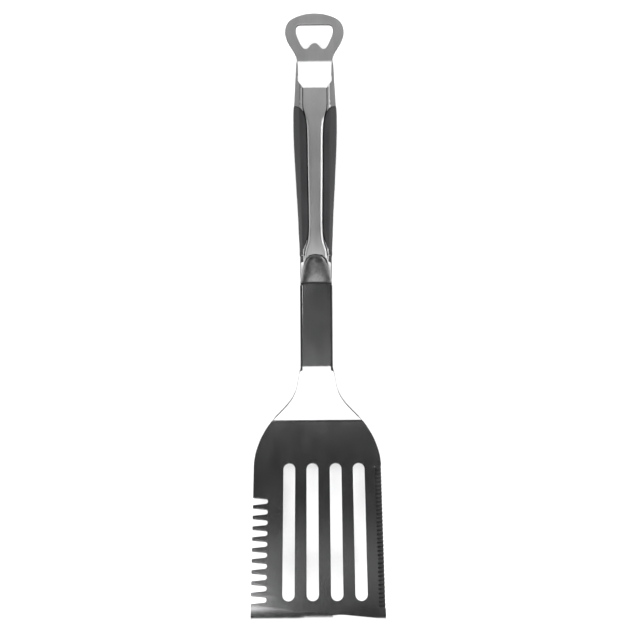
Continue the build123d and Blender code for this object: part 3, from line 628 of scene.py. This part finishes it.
# ---------------------------------------------------------------- handle surfaces
half_a = table([(-4, 12.35), (0, 12.35), (12, 12.3), (25, 12.3), (31, 12.5), (37, 12.8), (50, 13.3), (63, 13.95), (75, 14.65), (88, 15.3),
                (101, 16.0), (113, 16.5), (122, 16.7), (133, 16.7), (140, 16.5), (146, 16.2), (154, 15.8), (164, 15.3), (176, 14.6), (182, 14.2)])
top_w = table([(-4, 1.3), (0, 1.7), (10, 4.1), (22, 6.4), (40, 8.0), (70, 9.1), (100, 9.5), (130, 9.1), (155, 8.0), (176, 6.6), (182, 6.2)])
low_w = table([(-4, -6.1), (0, -6.3), (10, -6.9), (22, -7.6), (40, -8.6), (70, -10.2), (100, -11.2), (130, -11.4), (155, -10.6), (176, -9.0), (182, -8.5)])
half_b = table([(-4, 7.0), (0, 7.4), (10, 8.3), (22, 9.2), (40, 9.9), (100, 10.9), (140, 11.6), (176, 10.6), (182, 10.3)])
drop_t = table([(-4, 2.2), (0, 2.4), (22, 4.4), (60, 5.4), (100, 5.8), (140, 5.2), (176, 4.6), (182, 4.4)])
rise_l = table([(-4, 1.9), (0, 2.0), (22, 3.2), (60, 4.2), (100, 4.8), (140, 4.6), (176, 3.8), (182, 3.6)])
in_l = table([(-4, 2.6), (0, 2.8), (22, 3.5), (100, 5.0), (182, 4.0)])
grip_curve = [(19.0, 142.0), (14.6, 139.2), (11.0, 136.3), (8.6, 132.8), (7.2, 127.5), (6.55, 120.0), (6.05, 85.0), (5.55, 48.0), (5.75, 38.0),
              (7.3, 31.6), (9.4, 26.8), (11.8, 21.8), (14.4, 16.5)]
gx = table([(h, x) for x, h in reversed(spline(grip_curve, 6))])


def section(h, inset):
    """Half section, right side, from the middle of the top round to the middle of the underside: a dense list of (x, w)."""
    a, b, t, lo = half_a(h), half_b(h), top_w(h), low_w(h)
    pts = [(0, t), (b, t), (a, t - drop_t(h)), (a, lo + rise_l(h)), (a - in_l(h), lo), (0, lo)]
    base = [0, 2.2, 2.4, 4.0, 4.0, 0]
    moved = []
    for i, p in enumerate(pts):
        p0, p2 = (pts[i - 1] if i else (-b, t)), (pts[i + 1] if i < 5 else (-(a - in_l(h)), lo))
        d1, d2 = (p[0] - p0[0], p[1] - p0[1]), (p2[0] - p[0], p2[1] - p[1])
        k1, k2 = math.hypot(*d1), math.hypot(*d2)
        o1, o2 = (-d1[1] / k1, d1[0] / k1), (-d2[1] / k2, d2[0] / k2)
        det = o1[0] * o2[1] - o1[1] * o2[0]
        if abs(det) < 1e-6:
            moved.append((p[0] - o1[0] * inset, p[1] - o1[1] * inset))
            continue
        c1 = p[0] * o1[0] + p[1] * o1[1] - inset
        c2 = p[0] * o2[0] + p[1] * o2[1] - inset
        moved.append(((c1 * o2[1] - c2 * o1[1]) / det, (o1[0] * c2 - o2[0] * c1) / det))
    out = [moved[0]]
    for i in range(1, 5):
        p0, p1, p2 = moved[i - 1], moved[i], moved[i + 1]
        k1, k2 = math.dist(p0, p1), math.dist(p1, p2)
        u1 = ((p1[0] - p0[0]) / k1, (p1[1] - p0[1]) / k1)
        u2 = ((p2[0] - p1[0]) / k2, (p2[1] - p1[1]) / k2)
        turn = abs(math.atan2(u1[0] * u2[1] - u1[1] * u2[0], u1[0] * u2[0] + u1[1] * u2[1]))
        r = max(base[i] - inset, 0.5)
        lim = [0.42 * k1 if i > 1 else 0.84 * k1, 0.42 * k2 if i < 4 else 0.84 * k2]
        kk = min(r * math.tan(turn / 2), *lim)
        r = kk / math.tan(turn / 2)
        s = (p1[0] - u1[0] * kk, p1[1] - u1[1] * kk)
        # centre lies inside the section: to the right of travel
        c = (s[0] + u1[1] * r, s[1] - u1[0] * r)
        w = (s[0] - c[0], s[1] - c[1])
        for q in range(13):
            g = -turn * q / 12
            out.append((c[0] + w[0] * math.cos(g) - w[1] * math.sin(g), c[1] + w[0] * math.sin(g) + w[1] * math.cos(g)))
    out.append(moved[5])
    return out


def walk(line, xb, n, sides=True):
    """The stretch of a half section that lies outside x = xb, as n points evenly spaced, with outward normals."""
    def cross(a, b):
        t = (xb - a[0]) / (b[0] - a[0])
        return (xb, a[1] + (b[1] - a[1]) * t)

    out = []
    for a, b in zip(line[:-1], line[1:]):
        if a[0] < xb <= b[0] and not out:
            out.append(cross(a, b))
            out.append(b)
        elif out:
            if b[0] < xb:
                out.append(cross(a, b))
                break
            out.append(b)
    if len(out) < 3:
        return None
    cum = [0.0]
    for a, b in zip(out[:-1], out[1:]):
        cum.append(cum[-1] + math.dist(a, b))
    res = []
    for k in range(n):
        q = cum[-1] * (0.5 - 0.5 * math.cos(math.pi * k / (n - 1))) * 0.35 + cum[-1] * k / (n - 1) * 0.65
        i = max(j for j in range(len(cum) - 1) if cum[j] <= q + 1e-9)
        f = (q - cum[i]) / max(cum[i + 1] - cum[i], 1e-9)
        a, b = out[i], out[i + 1]
        d = math.dist(a, b) or 1.0
        res.append((a[0] + (b[0] - a[0]) * f, a[1] + (b[1] - a[1]) * f, -(b[1] - a[1]) / d, (b[0] - a[0]) / d, q, cum[-1]))
    return res


def make_grip(side):
    """One soft grip: proud of the shell by a third of a millimetre, its rim rolled over into the groove."""
    T = 2.65
    M = 46
    hs = []
    h0, h1 = 20.6, 140.7
    for k in range(141):
        t = k / 140
        hs.append(h0 + (h1 - h0) * (0.5 - 0.5 * math.cos(math.pi * t)) * 0.5 + (h1 - h0) * t * 0.5)
    rings = []
    for h in hs:
        xb = gx(h) + 0.18
        line = section(h, 0.0)
        w = walk(line, xb, M)
        if w is None:
            continue
        end = min(h - h0, h1 - h) / 2.4
        top = []
        for (x, z, nx, nz, q, tot) in w:
            e = min(q, tot - q)
            lift = 0.35
            rr = 0.95
            roll = 0.0 if e > rr else rr - math.sqrt(max(rr * rr - (rr - e) ** 2, 0.0))
            roll = max(roll, 0.0 if end > 1 else 0.95 * (1 - math.sqrt(max(1 - (1 - end) ** 2, 0.0))))
            o = lift - roll
            top.append((x + nx * o, z + nz * o))
        low = [(x - nx * T * 0.94, z - nz * T * 0.94) for (x, z, nx, nz, q, tot) in w]
        rings.append((h, top, low))
    verts, faces = [], []
    K = 2 * M
    for h, top, low in rings:
        for x, z in top + low[::-1]:
            verts.append(hand(side * x, h, z))
    for i in range(len(rings) - 1):
        for k in range(K):
            a, b = i * K + k, i * K + (k + 1) % K
            faces.append((a, b, b + K, a + K))
    faces.append(tuple(range(K))[::-1])
    last = (len(rings) - 1) * K
    faces.append(tuple(last + k for k in range(K)))
    return from_data("grip_left_skin" if side < 0 else "grip_right_skin", verts, faces)


for side, node in ((-1, "grip_left"), (1, "grip_right")):
    finish_piece(make_grip(side), node, weighted=False, angle=50)

# ---------------------------------------------------------------- spine plate: crowned, with a rolled rim, forked round the bolster
g = [(x - 0.5, h) for x, h in grip_curve if 36 < h < 131]
PX = [(9.1, 153.0), (9.1, 146.0), (9.1, 139.5)] + spline([(9.1, 139.5), (8.75, 136.0), (7.85, 132.6)] + g + [
    (5.55, 35.0), (5.95, 32.0), (6.6, 29.6), (7.4, 27.2), (8.0, 24.6), (8.35, 22.0), (8.8, 19.0), (9.5, 16.0), (9.9, 13.6)], 6)[1:]
plate_x = table(sorted({round(h, 3): x for x, h in PX}.items()))
arch_half = [(0.9, 12.2), (4.0, 11.4), (8.0, 10.7), (11.5, 10.0), (15.2, 9.0), (18.8, 7.4), (21.1, 4.6), (21.9, 0.0)]
arch_h = table([(x, h) for h, x in reversed(arch_half)])


def skin_w(x, h):
    """Height of the shell's top at x, with its flank's fall beyond the flat."""
    over = max(0.0, abs(x) - half_b(h) + 0.6)
    return top_w(h) - min(over, 1.2) ** 2 / 2.4 * drop_t(h) / (half_a(h) - half_b(h)) - max(0.0, over - 1.2) * drop_t(h) / (half_a(h) - half_b(h))


def plate_front(u):
    h = 14.0
    for _ in range(30):
        x = abs(u) * plate_x(max(h, 13.6))
        h = 0.5 * h + 0.5 * (arch_h(max(x - 0.28, 0.0)) + 0.28)
    return h


us = sorted({round(sg * v, 5) for sg in (-1, 1) for v in (0, .12, .24, .36, .48, .58, .66, .72, .77, .81, .845, .875, .90, .92, .94, .957, .972, .985, .995, 1.0)})
fronts = [plate_front(u) for u in us]
ts = [(k / 26) ** 1.5 * 0.16 for k in range(26)] + [0.16 + 0.84 * k / 74 for k in range(75)]
verts, faces = [], []
W = len(us)
for t in ts:
    for level in (1, 0):
        for u, hf in (list(zip(us, fronts)) if level else list(zip(us, fronts))[::-1]):
            h = hf + (153.0 - hf) * t
            px = plate_x(min(max(h, 13.6), 153.0))
            x = u * px
            e = (1 - abs(u)) * px
            roll = max(0.0, 1 - e / 2.3)
            full = 1.0 - 0.8 * smooth(124.0, 133.0, h)
            w = skin_w(x, h) + (1.08 - 0.92 * full * roll ** 2 if level else 0.12 - 0.30 * roll ** 2)
            verts.append(hand(x, h, w))
K = 2 * W
for i in range(len(ts) - 1):
    for k in range(K):
        q, r = i * K + k, i * K + (k + 1) % K
        faces.append((q, r, r + K, q + K))
for base_i, rev in ((0, False), ((len(ts) - 1) * K, True)):
    for k in range(W - 1):
        q = (base_i + k, base_i + K - 1 - k, base_i + K - 2 - k, base_i + k + 1)
        faces.append(q[::-1] if rev else q)
plate = from_data("spine_skin", verts, faces)
finish_piece(plate, "spine_plate", weighted=False, angle=50, edge=PAINTED_SHADE_PLATE_RIM)
# painted shade: the plate's steep rim faces get the near-black rim material
for f in plate.data.polygons:
    f.material_index = 1 if abs(f.normal.z) < 0.30 else 0

# ---------------------------------------------------------------- bolster: an arch in plan with a domed top and rounded rim
arch = spline([(w, h) for h, w in arch_half], 8)
cen = table([(0.9, 5.5), (6, 6.9), (12, 8.0), (18, 8.7), (23, 8.9)])
edg = table([(0.9, 1.2), (6, 1.8), (12, 2.4), (18, 3.0), (23, 3.2)])
contour = [(x, h) for x, h in arch] + [(-x, h) for x, h in reversed(arch[:-1])]
centre = (0.0, 1.1)
verts, faces = [], []
RN = 18
ringn = len(contour)
for j in range(RN + 1):
    t = 1 - (j / RN) ** 1.6
    for x, h in contour:
        px, ph = centre[0] + (x - centre[0]) * t, max(centre[1] + (h - centre[1]) * t, 0.95)
        w = cen(ph) - (cen(ph) - edg(ph)) * (px / 13) ** 2
        d = (1 - t) * 10.0
        r = 1.5
        roll = 0.0 if d > r else r - math.sqrt(max(r * r - (r - d) ** 2, 0.0))
        verts.append(hand(px, ph, max(w - roll, 1.32)))
for j in range(RN):
    for i in range(ringn - 1):
        a = j * ringn + i
        faces.append((a, a + 1, a + ringn + 1, a + ringn))
base = len(verts)
for x, h in contour:
    verts.append(hand(x, max(h, 0.95), 1.3))
for i in range(ringn - 1):
    faces.append((i + 1, i, base + i, base + i + 1))
faces.append(tuple(base + i for i in range(ringn)))
# front wall between the contour's two ends
front_top = [j * ringn for j in range(RN + 1)] + [j * ringn + ringn - 1 for j in range(RN - 1, -1, -1)]
faces.append(tuple(front_top + [base + ringn - 1, base]))
bol = from_data("bolster_body", verts, faces)
finish_piece(bol, "front_bolster", weighted=False, angle=40)

# ---------------------------------------------------------------- upper shell: pressed skin with a seat for the plate, a cut-out for the bolster and pockets for the grips
arch_x = table([(h, x) for h, x in arch_half[:-1]] + [(21.9, 0.4)])


def shell_ring(h):
    line = section(h, 0.0)
    deep = section(h, 2.8)
    t = top_w(h)
    in_grip = 16.0 < h < 142.0
    if h < 21.9:
        xg, low = arch_x(h) + 0.14, 1.22
    elif h < 153.6:
        xg, low = plate_x(min(h, 153.0)) + 0.78, t - 1.5
    else:
        xg, low = 3.0, t - 0.02
    xg = min(xg, half_a(h) - 0.12)
    w = walk(line, xg, 44)
    ring = []
    for k in range(6):
        ring.append((xg * k / 6, low, 0.0, 1.0, False))
    ring.append((xg - 0.02, low, 0.0, 1.0, False))
    pts = [(x, z, nx, nz) for x, z, nx, nz, q, tot in w if z > PART]
    if len(pts) < 2:
        pts = [(a[0], max(a[1], PART), a[2], a[3]) for a in w[:2]]
    M = 36
    cum = [0.0]
    for a, b in zip(pts[:-1], pts[1:]):
        cum.append(cum[-1] + math.dist(a[:2], b[:2]))
    for k in range(M):
        q = cum[-1] * k / (M - 1)
        i = max(j for j in range(len(cum) - 1) if cum[j] <= q + 1e-9)
        f = (q - cum[i]) / max(cum[i + 1] - cum[i], 1e-9)
        a, b = pts[i], pts[i + 1]
        x, z = a[0] + (b[0] - a[0]) * f, a[1] + (b[1] - a[1]) * f
        pocket = in_grip and x > gx(h) + 0.1
        ring.append((x, z, a[2], a[3], pocket))
    return ring


PART = -0.47
hs = [0.9, 1.6, 2.6] + [4.3 + 1.45 * k for k in range(7)] + [14 + 0.5 * k for k in range(44)] + [37 + 3 * k for k in range(31)] + [128 + 0.5 * k for k in range(31)] + [145 + 1.5 * k for k in range(6)] + [153.5, 153.7] + [156 + 2 * k for k in range(11)]
rings = [(h, shell_ring(h)) for h in hs]
verts, faces = [], []
NR = len(rings[0][1])
FULL = 2 * NR - 1
for h, ring in rings:
    outer, inner = [], []
    for x, z, nx, nz, pocket in ring:
        d = 2.75 if pocket else 0.0
        ox, oz = x - nx * d, max(z - nz * d, PART)
        e = d + 1.2
        outer.append((ox, oz))
        inner.append((x - nx * e, max(z - nz * e, PART - 0.06)))
    loop = [(-x, z) for x, z in reversed(outer)] + outer[1:] + [(x, z) for x, z in reversed(inner)] + [(-x, z) for x, z in inner[1:]]
    verts += [hand(x, h, z) for x, z in loop]
K = len(loop)
for i in range(len(rings) - 1):
    for k in range(K):
        a, b = i * K + k, i * K + (k + 1) % K
        faces.append((a, b, b + K, a + K))
for base_i, rev in ((0, True), ((len(rings) - 1) * K, False)):
    for k in range(FULL - 1):
        q = (base_i + k, base_i + k + 1, base_i + K - 2 - k, base_i + K - 1 - k)
        faces.append(q[::-1] if rev else q)
shell_up = from_data("upper_shell_skin", verts, faces)
finish_piece(shell_up, "handle_upper_shell", weighted=False, angle=32, edge=PAINTED_SHADE_SHELL_SIDE)
shell_up.data.materials.append(PAINTED_BLACK_SHADE)
h_a, h_b = Vector(row(hand(0, 0, 0))), Vector(row(hand(0, 1, 0)))
h_dir = (h_b - h_a) / (h_b - h_a).length_squared
for f in shell_up.data.polygons:
    h = (f.center - h_a).dot(h_dir)
    x = abs(f.center.x) * 1000
    # painted shade: the seat under the spine plate and the steep side walls are painted black as shade (slot 2)
    if 21.0 < h < 153.4 and x < plate_x(min(max(h, 13.6), 153.0)) + 0.80:
        f.material_index = 2
    # painted shade: the rear flanks get the dark flank material (slot 1)
    elif f.normal.z < 0.84 and h > 100.0:
        f.material_index = 1
    elif abs(f.normal.x) > 0.75:
        f.material_index = 2

for name in ("handle_lower_shell", "rear_end_plug", "mouth_seal", "core_upper", "core_lower",
             "grip_carrier_left", "grip_carrier_right", "tang_rivets", "opener_rivets", "spine_studs"):
    o = NODES[name]
    md = o.modifiers.new("soft_edge", "BEVEL")
    md.width = 0.00018
    md.segments = 2
    md.limit_method = "ANGLE"
    md.angle_limit = math.radians(40)
    md.harden_normals = False

# ---------------------------------------------------------------- floor, light, camera
fm, nt, b, co = new_material("paper")
b.inputs["Roughness"].default_value = 0.9
b.inputs["Specular IOR Level"].default_value = 0.1
n = noise(nt, mapped(nt, co, (400, 400, 400)), 1.0, 3.0, 0.5)
nt.links.new(ramp(nt, n, [(0.3, (0.88, 0.88, 0.88)), (0.7, (0.90, 0.90, 0.90))]), b.inputs["Base Color"])
me = bpy.data.meshes.new("floor")
me.from_pydata([(-3, -3, 0), (3, -3, 0), (3, 3, 0), (-3, 3, 0)], [], [(0, 1, 2, 3)])
floor = bpy.data.objects.new("floor", me)
me.materials.append(fm)
bpy.context.scene.collection.objects.link(floor)
cm, nt, b, co = new_material("cove_paper")
b.inputs["Roughness"].default_value = 0.95
b.inputs["Specular IOR Level"].default_value = 0.05
n = noise(nt, mapped(nt, co, (60, 60, 60)), 1.0, 3.0, 0.5)
nt.links.new(ramp(nt, n, [(0.3, (0.30, 0.30, 0.30)), (0.7, (0.34, 0.34, 0.34))]), b.inputs["Base Color"])
me = bpy.data.meshes.new("cove")
rim = [(2.7 * math.cos(math.tau * k / 64), 2.7 * math.sin(math.tau * k / 64)) for k in range(64)]
me.from_pydata([(x, y, z) for z in (-0.01, 1.7) for x, y in rim], [], [(k, (k + 1) % 64, 64 + (k + 1) % 64, 64 + k) for k in range(64)])
me.shade_smooth()
me.materials.append(cm)
cove = bpy.data.objects.new("cove", me)
bpy.context.scene.collection.objects.link(cove)

scene = bpy.context.scene
world = bpy.data.worlds.new("studio")
scene.world = world
world.use_nodes = True
bg = world.node_tree.nodes["Background"]
bg.inputs["Color"].default_value = (1, 1, 1, 1)
bg.inputs["Strength"].default_value = 0.035


def light(name, pos, target, sx, sy, radiance, glossy=True, diffuse=True):
    d = bpy.data.lights.new(name, "AREA")
    d.shape = "RECTANGLE"
    d.size, d.size_y = sx, sy
    d.energy = radiance * math.pi * sx * sy
    o = bpy.data.objects.new(name, d)
    o.location = pos
    v = Vector(target) - Vector(pos)
    o.rotation_euler = v.to_track_quat("-Z", "Y").to_euler()
    o.visible_glossy = glossy
    o.visible_diffuse = diffuse
    o.visible_camera = False
    scene.collection.objects.link(o)
    return o


def arc(theta, r=1.5, x=0.0):
    t = math.radians(theta)
    return (x, r * math.sin(t), r * math.cos(t))


light("sky", (0.0, 0.0, 2.4), (0, 0, 0), 3.2, 3.2, 5.2, glossy=False)
light("front_card", arc(-45.0), (0, 0, 0), 2.6, 2.18, 2.0, diffuse=False)
light("handle_card", (0.0, 0.56, 0.52), (0, 0.12, 0.03), 0.7, 0.30, 0.68, diffuse=False)
light("corner_card", (-0.225, 0.09, 0.90), (-0.05, -0.20, 0.05), 0.24, 0.14, 2.5, diffuse=False)
light("fill_card", (0.0, 0.27, 0.90), (0, -0.15, 0.0), 0.40, 0.10, 0.17, diffuse=False)
light("right_card", (0.62, 0.32, 0.42), (0, 0.10, 0.03), 0.42, 0.26, 4.2, diffuse=False)
light("left_card", (-0.75, 0.28, 0.28), (0, 0.10, 0.03), 0.42, 0.22, 1.4, diffuse=False)

cam_data = bpy.data.cameras.new("cam")
cam_data.type = "PERSP"
cam_data.sensor_width = 36.0
cam_data.lens = 49.05
cam_data.clip_start = 0.01
cam = bpy.data.objects.new("cam", cam_data)
cam.location = (0.0028, -0.0061, 0.700)
cam.rotation_euler = (0.0, 0.0, math.radians(-0.4))
scene.collection.objects.link(cam)
scene.camera = cam
scene.view_settings.view_transform = "Standard"
scene.view_settings.look = "None"
